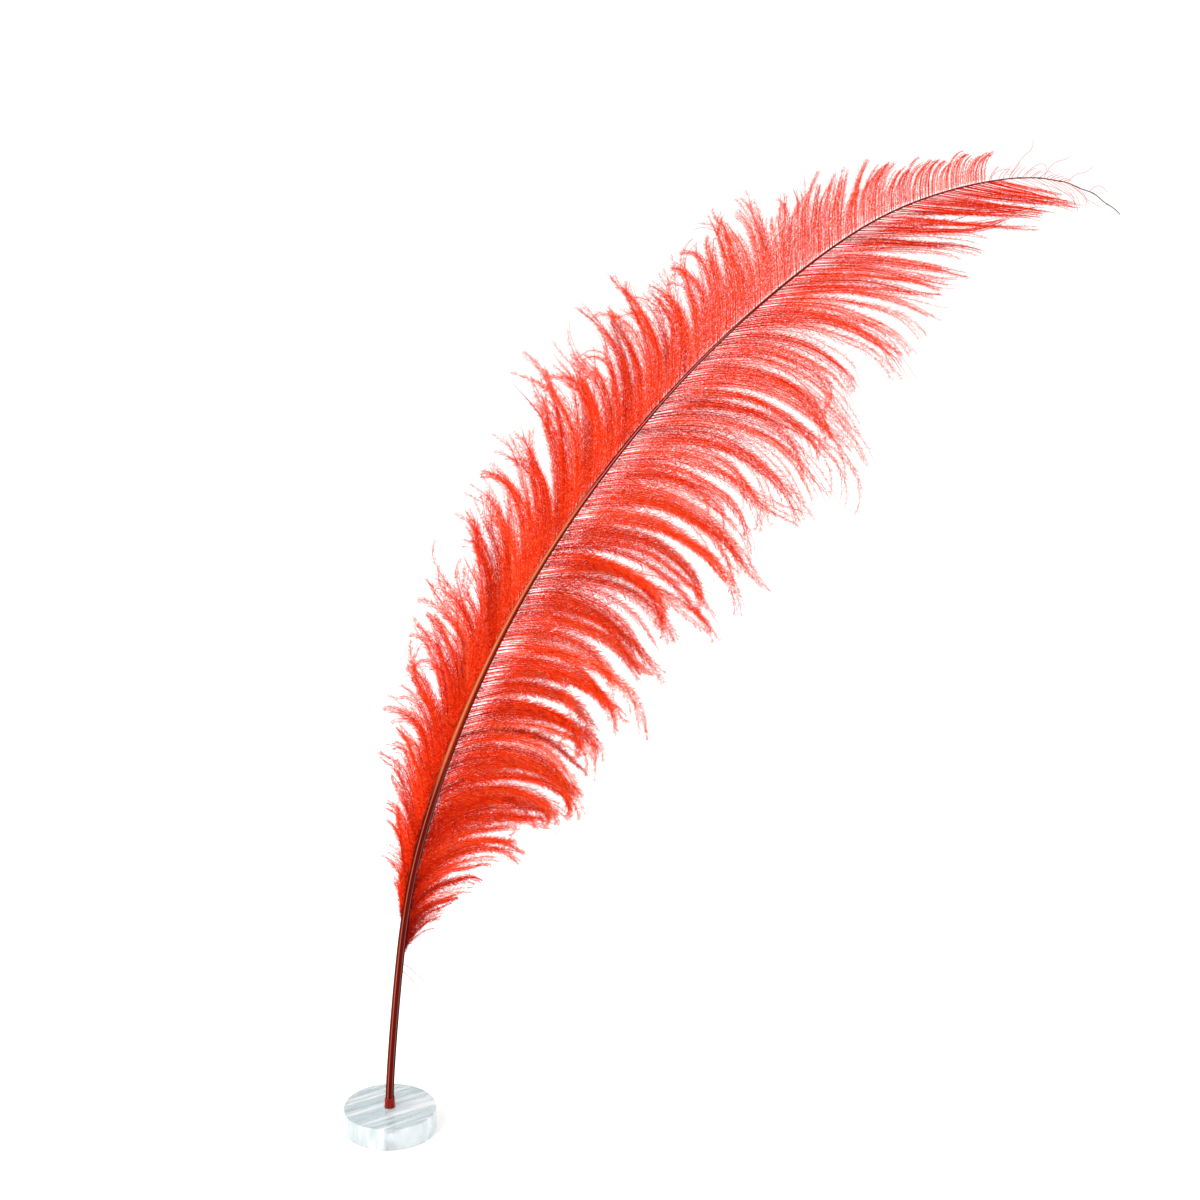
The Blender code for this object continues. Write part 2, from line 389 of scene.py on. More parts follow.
def shaft_middle(distance):
    """The shaft's centre (x, z) at each distance. Below the disc's top it is straight down."""
    x = np.interp(distance, np.arange(SHAFT_END + 1), SHAFT_X)
    z = np.interp(distance, np.arange(SHAFT_END + 1), SHAFT_Z) + np.minimum(distance, 0.0)
    return x, z


def shaft_rings(stations, sides, ratio=1.0, groove=0.0, ridge=0.0):
    """Rings of points round the shaft, and each point's distance along it and turn from the front, -1 to
    1. Ratio is the rings' share of the shaft's thickness. A groove runs down the front face, with ridges
    beside it, both as shares of the radius."""
    stations = np.asarray(stations, float)[:, None]
    turn_of = 2 * np.pi * np.arange(sides)[None, :] / sides - np.pi
    x, z = shaft_middle(stations)
    lean = np.radians(between(SHAFT_LEAN, np.maximum(stations, 0.0)))
    depth = np.interp(stations, (60.0, 110.0, 470.0), (0.0, 1.0, 0.6))
    dip = groove * np.exp(-((turn_of / 0.3) ** 2))
    swell = ridge * np.exp(-(((abs(turn_of) - 0.75) / 0.35) ** 2))
    shape = 1 - depth * (dip - swell)
    radius = between(SHAFT_DIAMETER, np.maximum(stations, 0.0)) / 2 * ratio * shape
    across = radius * np.sin(turn_of)
    ring = [x + across * np.cos(lean), -radius * np.cos(turn_of), z - across * np.sin(lean)]
    points = np.stack(np.broadcast_arrays(*ring), axis=-1).reshape(-1, 3)
    flat = [np.broadcast_to(v, shape.shape).ravel() for v in (stations, turn_of / np.pi)]
    return points, flat[0], flat[1]


def add_tube(name, outside, bore, sides, finish, groove=0.0, ridge=0.0, bore_ratio=1.0):
    """A section of the shaft, from rings at the distances outside and, for the bore, at the distances
    bore. The bore is open at the section's lower end."""
    points, along, around = shaft_rings(outside, sides, 1.0, groove, ridge)
    rings = len(outside)
    if len(bore):
        inner, inner_along, inner_around = shaft_rings(bore[::-1], sides, bore_ratio)
        points = np.concatenate([inner, points])
        along = np.concatenate([inner_along, along])
        around = np.concatenate([inner_around, around])
        rings += len(bore)
    last = len(points)
    caps = np.array([np.arange(sides)[::-1], np.arange(last - sides, last)])
    return add_mesh(
        name,
        points,
        [(skin(rings, sides), 0), (caps, 0)],
        [finish],
        {"along": along / SHAFT_END, "around": around},
    )


# Dyed keratin: a hard horn that takes the dye deepest where it is thickest. Its own gloss is kept faint,
# and its highlights are painted into its colour. Its fibres run along the shaft, about 0.1 mm apart,
# drawn up to 0.4 mm apart so that they show. The bare quill is maroon, with lighter streaks round its
# back, painted highlights on either side of its front and a painted dark reflection down its right side.
# In the middle of the vane's lower half the shaft is tan on its leading side, partly a lighter dye and
# partly painted light, and dark on the other, partly painted shade. Further up it is maroon again, with a
# painted highlight down its front.
keratin, tree, shader = new_finish(
    "dyed_quill_keratin", Roughness=0.3, IOR=1.54, Specular_IOR_Level=0.015
)
along = add_node(tree, "ShaderNodeAttribute", {"attribute_name": "along"})
around = add_node(tree, "ShaderNodeAttribute", {"attribute_name": "around"})
grain_place = add_node(
    tree, "ShaderNodeCombineXYZ", {}, {"X": around.outputs["Fac"], "Y": along.outputs["Fac"]}
)
fibres = add_node(
    tree, "ShaderNodeMapping", {"Scale": (14.0, 16.0, 1.0)}, {"Vector": grain_place.outputs["Vector"]}
)
grain = add_node(
    tree,
    "ShaderNodeTexNoise",
    {"Scale": 1.0, "Detail": 5.0, "Roughness": 0.6},
    {"Vector": fibres.outputs[0]},
)
# The bands' edges, the painted highlights among them, waver a little with the grain.
waver = add_node(
    tree,
    "ShaderNodeMath",
    {"operation": "MULTIPLY_ADD", 1: 0.05, 2: -0.025},
    {0: grain.outputs["Fac"]},
)
turned = add_node(
    tree, "ShaderNodeMath", {"operation": "ADD"}, {0: around.outputs["Fac"], 1: waver.outputs[0]}
)
section = add_node(
    tree,
    "ShaderNodeMath",
    {"operation": "MULTIPLY_ADD", 1: 0.5, 2: 0.5},
    {0: turned.outputs[0]},
)
# Each ramp goes round the shaft from its back at 0, past the leading side at 0.25 and the front at 0.5.
BANDS = (
    # The foot: maroon, with a painted highlight at 0.43, a painted light line at 0.6 and a painted dark
    # reflection from 0.63 to 0.7.
    (
        (0.0, "#480806"), (0.1, "#5A1A10"), (0.16, "#480806"), (0.28, "#3E0C08"), (0.36, "#500E08"),
        (0.412, "#5E180E"), (0.43, "#9A5442"), (0.444, "#864030"), (0.46, "#500C06"), (0.5, "#4A0804"),
        (0.55, "#4A0A07"), (0.588, "#58120E"), (0.604, "#92594F"), (0.616, "#5A2A24"), (0.634, "#200E0E"),
        (0.7, "#281012"), (0.78, "#440806"), (0.84, "#7A4030"), (0.87, "#460806"), (1.0, "#480806"),
    ),
    # The vane's lower half: a tan leading side, partly lighter dye and partly painted light, and a dark
    # side that is partly painted shade.
    (
        (0.0, "#5E2418"), (0.25, "#782C18"), (0.33, "#A05430"), (0.41, "#B26844"), (0.464, "#964828"),
        (0.502, "#6C1206"), (0.6, "#600A03"), (0.75, "#660C05"), (0.9, "#5E1A10"), (1.0, "#5E2418"),
    ),
    # Higher up: maroon with a painted pale highlight down the front, from 0.46 to 0.49.
    (
        (0.0, "#60140E"), (0.25, "#70120A"), (0.43, "#660808"), (0.46, "#A2645E"), (0.485, "#94544E"),
        (0.52, "#5C0608"), (0.75, "#6A0E0A"), (1.0, "#60140E"),
    ),
    ((0.0, "#52120C"), (0.3, "#6A1A12"), (0.5, "#5C140E"), (0.7, "#6A1E14"), (1.0, "#52120C")),
    ((0.0, "#3C1C14"), (0.4, "#54261C"), (0.6, "#481E16"), (1.0, "#3C1C14")),
)
# Where each ramp gives way to the next, in millimetres from the disc's top.
CHANGES = ((134.0, 166.0), (264.0, 292.0), (354.0, 374.0), (462.0, 500.0))
foot_band = add_node(tree, "ShaderNodeValToRGB", {"stops": BANDS[0]}, {"Fac": section.outputs[0]})
colour = foot_band.outputs["Color"]
for (start, end), stops in zip(CHANGES, BANDS[1:]):
    share = add_node(
        tree,
        "ShaderNodeMapRange",
        {
            "interpolation_type": "SMOOTHSTEP",
            "From Min": start / SHAFT_END,
            "From Max": end / SHAFT_END,
        },
        {"Value": along.outputs["Fac"]},
    )
    band = add_node(tree, "ShaderNodeValToRGB", {"stops": stops}, {"Fac": section.outputs[0]})
    mix = add_node(
        tree,
        "ShaderNodeMix",
        {"data_type": "RGBA"},
        {0: share.outputs["Result"], 6: colour, 7: band.outputs["Color"]},
    )
    colour = mix.outputs[2]
mottle = add_node(
    tree,
    "ShaderNodeMapRange",
    {"From Min": 0.3, "From Max": 0.7, "To Min": 0.78, "To Max": 1.16},
    {"Value": grain.outputs["Fac"]},
)
streaked = add_node(
    tree,
    "ShaderNodeMix",
    {"data_type": "RGBA", "blend_type": "MULTIPLY", 0: 1.0},
    {6: colour, 7: mottle.outputs["Result"]},
)
tree.links.new(streaked.outputs[2], shader.inputs["Base Color"])
lines = add_node(
    tree,
    "ShaderNodeBump",
    {"Strength": 0.3, "Distance": 0.0001},
    {"Height": grain.outputs["Fac"]},
)
tree.links.new(lines.outputs["Normal"], shader.inputs["Normal"])

cut_end = [QUILL_START, QUILL_START + 0.08]
barrel = add_tube(
    "quill_tube",
    np.concatenate([cut_end, np.linspace(QUILL_START + 0.5, QUILL_END, 70)]),
    np.linspace(QUILL_START, QUILL_BORE_END, 50),
    sides=40,
    finish=keratin,
    bore_ratio=0.68,
)
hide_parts("quill_barrel")
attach(barrel, "plume")


# ---- The rachis ----------------------------------------------------------------------------------
# The shaft that carries the vane, grown in one with the quill: a keratin wall round a foam core, with a
# groove down its front face. It thins to a hair.

RACHIS_END = 478.15
# The foam core ends here. Above it the shaft is too thin to have one.
CORE_END = 358.0
rachis = add_tube(
    "rachis_wall",
    np.concatenate([[QUILL_END], np.linspace(QUILL_END + 0.5, RACHIS_END, 280)]),
    np.linspace(QUILL_END, CORE_END, 120),
    sides=32,
    finish=keratin,
    groove=0.16,
    ridge=0.06,
    bore_ratio=0.76,
)
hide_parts("rachis_cortex")
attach(rachis, "plume")

# Quill foam: dry air-filled cells about 0.05 mm wide, drawn 0.2 mm wide so that they show, stained pink
# by the dye. The core keeps its CAD shape, since the wall hides it.
foam, tree, shader = new_finish("stained_quill_foam", Roughness=0.85, IOR=1.4)
place = add_node(tree, "ShaderNodeTexCoord")
cells = add_node(tree, "ShaderNodeTexVoronoi", {"Scale": 5000.0}, {"Vector": place.outputs["Object"]})
stain = add_node(
    tree,
    "ShaderNodeValToRGB",
    {"stops": ((0.1, "#D88464"), (0.6, "#F2B498"), (0.9, "#B85C40"))},
    {"Fac": cells.outputs["Distance"]},
)
tree.links.new(stain.outputs["Color"], shader.inputs["Base Color"])
pits = add_node(
    tree,
    "ShaderNodeBump",
    {"Strength": 0.5, "Distance": 0.0001},
    {"Height": cells.outputs["Distance"]},
)
tree.links.new(pits.outputs["Normal"], shader.inputs["Normal"])
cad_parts["rachis_pith"].data.materials[0] = foam


# ---- The bare tip --------------------------------------------------------------------------------
# The shaft's last 47 mm, from which the barbs were worn or cut: a bare hair with slight kinks, small
# knots where barbs broke off, and a dry brown end.

TIP_SIDES = 12
TIP_LENGTH = 47
# The knots' distances from the start of the bare tip.
KNOTS = np.array([6.0, 13.5, 21.0, 27.5, 34.0, 41.0])
tip_stations = np.linspace(RACHIS_END, SHAFT_END, 190)
tip = add_tube("bare_hair", tip_stations, [], TIP_SIDES, keratin)
points = np.empty(len(tip.data.vertices) * 3)
tip.data.vertices.foreach_get("co", points)
points = points.reshape(-1, TIP_SIDES, 3)
middle = points.mean(axis=1, keepdims=True)
gone = tip_stations - RACHIS_END
knotted = 1 + 0.35 * np.exp(-(((gone[:, None] - KNOTS) / 0.5) ** 2)).sum(axis=1)
# The kinks, across, back and up in millimetres, grow towards the end.
sway = (gone / TIP_LENGTH) ** 1.2
shift = np.stack(
    [
        0.25 * np.sin(gone * 0.42) * sway,
        0.5 * np.sin(gone * 0.31 + 1) * sway,
        0.3 * np.sin(gone * 0.6) * sway,
    ],
    axis=-1,
)
points = middle + (points - middle) * knotted[:, None, None] + (shift * MM)[:, None, :]
tip.data.vertices.foreach_set("co", points.ravel())
tip.data.update()
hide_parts("bare_tip")
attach(tip, "plume")


# ---- The leading vane ----------------------------------------------------------------------------
# The vane on the plume's outer side: barbs rooted about 0.5 mm apart, drawn 0.66 mm apart, each a fine
# stalk with two rows of soft barbules that make it fluffy. The barbs cling together in tufts, soft and
# dense here, with frizzed ends.

# Rows of distance along the shaft, the barbs' heading from upright at the root and at the tip in degrees,
# and their length. A minus leans to the leading side.
LEADING_BARBS = (
    (84, 0, -24, 18), (115, -2, -44, 33), (145, 0, -56, 45), (180, 4, -50, 48), (215, 4, -46, 50),
    (270, 6, -54, 52), (320, 6, -64, 48), (360, 2, -60, 38), (395, -4, 4, 26.5), (425, -4, 50, 21),
    (450, -6, 64, 14.5), (472, -8, 72, 10),
)
# Where the CAD's tufts meet along the shaft.
LEADING_EDGES = (84, 116, 148, 180, 212, 244, 276, 308, 338, 368, 396, 422, 446, 472)
BARB_STEPS = 20
STALK_SIDES = 3
# How far a barb's tip bows back, in millimetres.
BARB_BOW = 6.0
# The share of barbs that hold to no wisp.
STRAY_SHARE = 0.07


def gathered(root, span, rng):
    """The number of the group that each barb is in, and its place across it from -1 to 1. Span is the
    least and most that a group takes up along the shaft."""
    edges = [root.min()]
    while edges[-1] <= root.max():
        edges.append(edges[-1] + rng.uniform(*span))
    edges = np.array(edges)
    group = np.searchsorted(edges, root, side="right") - 1
    return group, 2 * (root - edges[group]) / (edges[group + 1] - edges[group]) - 1


def comb(
    stations, side, spacing, tuft_span, tuft_pull, wisp_span, wisp_pull,
    parts_at, frizz, seed, bend=1.15, cling=1.1,
):
    """The barbs of one vane as centre lines, (barb, step, xyz), with each one's distance along the shaft,
    whether it strays, and its wisp. Stations are rows as above, side is -1 on the leading side, and
    spacing is how far apart the roots are. A wisp is a few barbs that cling together, and so is a tuft on
    a larger scale: the spans are how wide they are along the shaft, and the pulls how far they close up.
    Parts_at is the share of a barb's length after which they part from their neighbours. Frizz gives the
    strength of the barbs' waves by distance along the shaft, and a larger bend turns them nearer their
    tips. With a smaller cling the wisps close up sooner."""
    rng = np.random.default_rng(seed)
    first, last = stations[0][0], stations[-1][0]
    root = np.arange(first, last, spacing)
    root = np.clip(root + rng.uniform(-0.4, 0.4, root.size) * spacing, first, last - 0.01)
    tuft, tuft_place = gathered(root, tuft_span, rng)
    wisp, _ = gathered(root, wisp_span, rng)
    tufts, wisps, barbs = tuft.max() + 1, wisp.max() + 1, root.size
    stray = rng.random(barbs) < STRAY_SHARE
    wild = frizz(root)
    u = np.linspace(0, 1, BARB_STEPS + 1)
    mid = (u[1:] + u[:-1]) / 2
    parted = np.clip((mid - parts_at) / (1 - parts_at), 0, 1)

    start, end = (np.radians(between(stations, root, k))[:, None] for k in (1, 2))
    heading = start + (end - start) * mid**bend
    # Each tuft, wisp and barb turns off by some degrees of its own, and a stray barb by more.
    turn_off = rng.normal(0, 3.8, tufts)[tuft] + rng.normal(0, 6.0, wisps)[wisp] * wild
    turn_off += rng.normal(0, 3.0, barbs) + np.where(stray, rng.normal(0, 18.0, barbs), 0) * wild
    heading += np.radians(turn_off)[:, None] * parted**0.7
    # Two sets of waves, by their number along a barb and strength in degrees, then a curl at its end.
    circle = 6.28
    for waves, strength in ((1.1, 8.0), (2.7, 7.0)):
        phase = rng.uniform(0, circle, wisps)[wisp] + rng.normal(0, 0.5, barbs)
        size = np.radians(strength * wild) * rng.uniform(0.2, 1.6, wisps)[wisp]
        heading += size[:, None] * np.sin(waves * circle * mid + phase[:, None]) * parted
    curl = np.radians((rng.normal(0, 26.0, wisps)[wisp] + rng.normal(0, 18.0, barbs)) * wild)
    heading += curl[:, None] * np.clip((mid - 0.6) / 0.4, 0, 1) ** 1.5

    length = between(stations, root, 3) * (1.05 - 0.1 * tuft_place**2)
    tuft_size, wisp_size = rng.normal(0.97, 0.05, tufts), rng.normal(1, 0.11, wisps)
    length *= tuft_size[tuft] * wisp_size[wisp] * rng.normal(1, 0.05, barbs)
    length *= np.where(stray, rng.uniform(0.8, 1.15, barbs), 1)
    # They grow from the shaft's side, a little inside its surface.
    x, z = shaft_middle(root)
    lean = np.radians(between(SHAFT_LEAN, root))
    offset = side * between(SHAFT_DIAMETER, root) / 2 * 0.8
    x, z = x + offset * np.cos(lean), z - offset * np.sin(lean)
    step = length[:, None] / BARB_STEPS
    lines = np.zeros((barbs, BARB_STEPS + 1, 3))
    lines[:, 1:, 0] = np.cumsum(np.sin(heading) * step, axis=1)
    lines[:, 1:, 2] = np.cumsum(np.cos(heading) * step, axis=1)
    lines[:, :, 0] += x[:, None]
    lines[:, :, 2] += z[:, None]
    back = BARB_BOW + rng.normal(0, 4.0, tufts)[tuft] + rng.normal(0, 4.0, wisps)[wisp]
    back += rng.normal(0, 1.5, barbs)
    lines[:, :, 1] = (np.clip(back, -14.0, 20.0) * np.minimum(length / 50.0, 1.1))[:, None] * u**1.6

    # Where they cling late, the wisps start to close a little further out than the tufts do.
    wisp_from = parts_at + 0.1 * (cling > 1)
    for group, count, pull, from_u, power in (
        (tuft, tufts, tuft_pull, parts_at, 1.1),
        (wisp, wisps, wisp_pull, wisp_from, cling),
    ):
        middles = np.zeros((count, BARB_STEPS + 1, 3))
        np.add.at(middles, group, lines)
        middles /= np.maximum(np.bincount(group, minlength=count), 1)[:, None, None]
        gather = pull * np.clip((u - from_u) / (1 - from_u), 0, 1)[None, :] ** power
        gather = gather * np.where(stray, 0.1, rng.uniform(0.7, 1.1, barbs))[:, None]
        lines += (middles[group] - lines) * gather[:, :, None]
    return lines, root, stray, wisp


# A stalk's radius at its tip, in millimetres.
STALK_END = 0.06


def draw_barbs(lines, radius):
    """Tapered three-sided stalks round centre lines: points, walls, end caps, and at each step the
    stalk's own forward, sideways and upward directions."""
    count, rings, _ = lines.shape
    tangent = np.gradient(lines, axis=1)
    tangent /= np.linalg.norm(tangent, axis=2, keepdims=True)
    aside = np.cross(tangent, (0.0, 1.0, 0.0))
    aside /= np.linalg.norm(aside, axis=2, keepdims=True)
    upright = np.cross(aside, tangent)
    u = np.linspace(0, 1, rings)
    thickness = radius * (1 - u) ** 0.4 + STALK_END
    angle = 2 * np.pi * np.arange(STALK_SIDES) / STALK_SIDES
    ring = aside[:, :, None] * np.cos(angle)[:, None] + upright[:, :, None] * np.sin(angle)[:, None]
    points = (lines[:, :, None] + ring * thickness[:, None, None]).reshape(-1, 3)
    last = rings * STALK_SIDES
    shift = np.arange(count)[:, None, None] * last
    walls = (skin(rings, STALK_SIDES) + shift).reshape(-1, 4)
    caps = (np.array([[2, 1, 0], [last - 3, last - 2, last - 1]]) + shift).reshape(-1, 3)
    return points, walls, caps, tangent, aside, upright


# A barbule opens from its barb by the spread, and its outer part bends towards the barb's tip, both in
# degrees. It is a sliver of this radius in millimetres, with a root, three points at its knee and an end.
BARBULE_SPREAD = 48.0
BARBULE_BEND = 14
BARBULE_RADIUS = 0.095
SLIVER_POINTS = 5


def draw_barbules(lines, length, frames, bare, bald, gap, reach, shy, rng):
    """Two rows of bent slivers along each centre line: points, faces, and for each sliver its barb and
    how far along that it is rooted, 0 to 1. Bare and bald are the stretches next to the shaft and at the
    tip that have none, gap is their distance apart and reach their length, all in millimetres. Shy is
    how much shorter they are over the first 6 mm, from where they grow to full length by 10 mm."""
    tangent, aside, upright = frames
    steps = lines.shape[1] - 1
    downy = np.maximum(length - bare - bald, 0)
    number = (downy / gap).astype(int)
    barb = np.repeat(np.arange(len(lines)), number)
    nth = np.arange(number.sum()) - np.repeat(np.cumsum(number) - number, number)
    barb, nth = np.repeat(barb, 2), np.repeat(nth, 2)
    hand = np.tile([-1.0, 1.0], len(barb) // 2)
    run = (nth + rng.random(nth.size)) * gap[barb]
    # They get sparser towards the barb's tip, and shorter.
    kept = rng.random(run.size) > 0.5 * np.minimum(run / downy[barb], 1.0) ** 3
    barb, hand, run = barb[kept], hand[kept], run[kept]
    u = np.clip((bare[barb] + run) / length[barb], 0, 0.999)
    k = (u * steps).astype(int)
    t = (u * steps - k)[:, None]
    root = lines[barb, k] * (1 - t) + lines[barb, k + 1] * t
    forward, sideways, up = (v[barb, k] for v in (tangent, aside, upright))
    roll = rng.normal(0, 0.7, run.size)
    sideways = sideways * (hand * np.cos(roll))[:, None] + up * np.sin(roll)[:, None]
    open_to = np.radians(rng.normal(BARBULE_SPREAD, 11.0, u.size))[:, None]
    out = forward * np.cos(open_to) + sideways * np.sin(open_to)
    fringe = 1 - shy[barb] * np.interp(run, (0.0, 3.5, 6.0, 10.0), (0.9, 1.0, 0.8, 0.0))
    taper = 1 - 0.55 * (run / np.maximum(downy, 1.0)[barb]) ** 2.2
    size = (reach[barb] * fringe * taper * rng.uniform(0.55, 1.25, u.size))[:, None]
    knee = root + out * size * 0.4
    bend = np.radians(rng.normal(-BARBULE_BEND, 16, u.size))[:, None]
    later = forward * np.cos(open_to + bend) + sideways * np.sin(open_to + bend)
    lift = rng.normal(0, 0.2, (u.size, 3))
    end = knee + (later + lift) * size * 0.6
    first = np.cross(out, rng.normal(0, 1, (u.size, 3)))
    first /= np.linalg.norm(first, axis=1, keepdims=True)
    second = np.cross(out, first)
    angle = 2 * np.pi * np.arange(3) / 3
    ring = first[:, None] * np.cos(angle)[:, None] + second[:, None] * np.sin(angle)[:, None]
    points = np.concatenate([root[:, None], knee[:, None] + ring * BARBULE_RADIUS, end[:, None]], axis=1)
    sliver = np.array([[0, 2, 1], [0, 3, 2], [0, 1, 3], [4, 1, 2], [4, 2, 3], [4, 3, 1]])
    faces = sliver + np.arange(len(barb))[:, None, None] * SLIVER_POINTS
    return points.reshape(-1, 3), faces.reshape(-1, 3), barb, u


# Dyed barb stalk: thin keratin, so a smoother and deeper red than the down on it, and browner towards its
# dry tip.
stalk, tree, shader = new_finish("dyed_barb_stalk", Roughness=0.5, IOR=1.54, Specular_IOR_Level=0.01)
tone = add_node(tree, "ShaderNodeAttribute", {"attribute_name": "shade"})
depth = add_node(
    tree,
    "ShaderNodeValToRGB",
    {"stops": ((0.0, "#980A04"), (0.25, "#CC1A08"), (0.7, "#F0300E"), (1.0, "#FF6034"))},
    {"Fac": tone.outputs["Fac"]},
)
reach = add_node(tree, "ShaderNodeAttribute", {"attribute_name": "reach"})
dry = add_node(
    tree,
    "ShaderNodeMapRange",
    {"From Min": 0.72, "From Max": 1.0, "To Max": 0.6},
    {"Value": reach.outputs["Fac"]},
)
aged = add_node(
    tree,
    "ShaderNodeMix",
    {"data_type": "RGBA", 7: paint("#8A2A1C")},
    {0: dry.outputs["Result"], 6: depth.outputs["Color"]},
)
tree.links.new(aged.outputs[2], shader.inputs["Base Color"])

# Dyed down: barbules about 0.03 mm thick, drawn 0.19 mm thick and fewer, since that many can't be drawn.
# Light passes from one to the next, which gives the soft, bright orange-red.
down, tree, shader = new_finish("dyed_ostrich_down", Roughness=0.8, IOR=1.45, Specular_IOR_Level=0.04)
tone = add_node(tree, "ShaderNodeAttribute", {"attribute_name": "shade"})
depth = add_node(
    tree,
    "ShaderNodeValToRGB",
    {
        "stops": (
            (0.0, "#8E0E06"), (0.25, "#D42208"), (0.5, "#F63A0E"), (0.75, "#FF4A18"), (1.0, "#FF7444"),
        )
    },
    {"Fac": tone.outputs["Fac"]},
)
tree.links.new(depth.outputs["Color"], shader.inputs["Base Color"])


def lay_out(walls, caps, slivers, shade, share):
    """Each corner's place in the bake map, which sorts the faces by colour. Stalks go across by reach and
    up by shade in its lower part, and down goes across by shade in its upper part. The corners of a face
    are set a hair apart, so that none has no area there."""
    parts = []
    for faces, apart, rise in ((walls, 0, (-1, 1, 1, -1)), (caps, 0.003, (-1, -1, 1))):
        across = share[faces] + (apart * np.array((-1, 1, 0)) if apart else 0)
        up = 0.42 * shade[faces] + 0.003 * np.array(rise)
        parts.append(np.stack([across, up], axis=-1).reshape(-1, 2))
    across = shade[slivers] + 0.004 * np.array((-1, 1, 0))
    up = np.broadcast_to((0.56, 0.56, 0.96), across.shape)
    parts.append(np.stack([across, up], axis=-1).reshape(-1, 2))
    return 0.02 + 0.96 * np.concatenate(parts)


def add_vane(prefix, nodes, edges, barbs, bare, gap, reach, shy, shadow, seed):
    """One piece of stalks and down for each CAD tuft, from the barbs rooted between its edges. Its name
    starts with prefix, and its CAD node's with nodes. Bare, gap, reach and shy give the barbules' values
    by distance along the shaft, and shadow how much painted shade darkens the barbs next to the shaft."""
    lines, root, stray, wisp = barbs
    wisps = wisp.max() + 1
    rng = np.random.default_rng(seed)
    tone = 0.6 + rng.normal(0, 0.08, wisps)[wisp] + rng.normal(0, 0.08, root.size)
    # A stalk is darker than its down, and one in twenty is darker still.
    dark = np.where(rng.random(root.size) < 0.05, 0.26, 0.14)
    grown = np.linalg.norm(np.diff(lines, axis=1), axis=2).sum(axis=1)
    # Two barbs in five have lost the down at their tips.
    bald = np.where(rng.random(root.size) < 0.4, rng.uniform(3.0, 12.0, root.size), 0.8) * grown / 60.0
    # Painted shade: how much darker the barbs are next to the shaft, by distance along it.
    painted_shade = shadow(root)
    growth = [
        grown,
        bare(root) + np.where(stray, 3.0, 0.0),
        bald,
        gap(root),
        reach(root) * rng.uniform(0.85, 1.15, root.size),
        np.minimum(shy(root) * rng.uniform(0.7, 1.3, wisps)[wisp], 0.92),
    ]
    for number, (start, end) in enumerate(zip(edges, edges[1:]), 1):
        mine = np.flatnonzero((root >= start) & (root < end))
        own = lines[mine]
        stalk_radius = np.interp((start + end) / 2, (80, 470), (0.12, 0.09))
        points, walls, caps, *frames = draw_barbs(own, stalk_radius)
        own_grown, *own_values = [values[mine] for values in growth]
        soft, soft_faces, barb, u = draw_barbules(own, own_grown, frames, *own_values, rng)
        rings = BARB_STEPS + 1
        stalk_u = np.tile(np.repeat(np.linspace(0, 1, rings), STALK_SIDES), len(own))
        stalk_of = np.repeat(mine, rings * STALK_SIDES)
        soft_u = np.repeat(u, SLIVER_POINTS)
        soft_of = np.repeat(mine[barb], SLIVER_POINTS)
        share = np.concatenate([stalk_u, soft_u])
        of = np.concatenate([stalk_of, soft_of])
        # The painted shade is deepest at a barb's root and fades over its first 12 mm.
        shade = tone[of] - painted_shade[of] * np.exp(-share * grown[of] / 12.0)
        shade[: len(stalk_of)] -= dark[stalk_of]
        shade[len(stalk_of) :] += np.repeat(rng.normal(0, 0.17, len(barb)), SLIVER_POINTS)
        shade = np.clip(shade, 0, 1)
        soft_faces += len(points)
        piece = add_mesh(
            f"{prefix}_{number:02d}",
            np.concatenate([points, soft]),
            [(walls, 0), (caps, 0), (soft_faces, 1)],
            [stalk, down],
            {"shade": shade, "reach": share},
            lay_out(walls, caps, soft_faces, shade, share),
        )
        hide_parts(f"{nodes}_{number:02d}")
        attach(piece, "plume")


add_vane(
    "leading_down",
    "leading_lock",
    LEADING_EDGES,
    comb(
        LEADING_BARBS, side=-1, spacing=0.66,
        tuft_span=(8.0, 14.0), tuft_pull=0.1, wisp_span=(1.2, 3.8), wisp_pull=0.62, parts_at=0.35,
        frizz=lambda root: np.interp(root, (84, 370, 420), (1.8, 1.5, 0.5)), seed=11, bend=1.9,
    ),
    bare=lambda root: np.full(root.size, 0.5),
    gap=lambda root: np.interp(
        root, (84, 200, 300, 390, 430, 472), (0.36, 0.44, 0.38, 0.46, 0.42, 0.42)
    ),
    reach=lambda root: np.interp(root, (84, 140, 370, 420, 472), (3.0, 4.0, 3.4, 2.2, 1.4)),
    shy=lambda root: np.full(root.size, 0.25),
    shadow=lambda root: np.interp(root, (84, 160, 240), (0.35, 0.15, 0.0)),
    seed=12,
)


# ---- The trailing vane ---------------------------------------------------------------------------
# The vane on the inner side, which hangs away from the shaft under its own weight. Its barbs, drawn
# 0.8 mm apart, have short down next to the shaft, then long, and gather into tapered tufts with gaps.

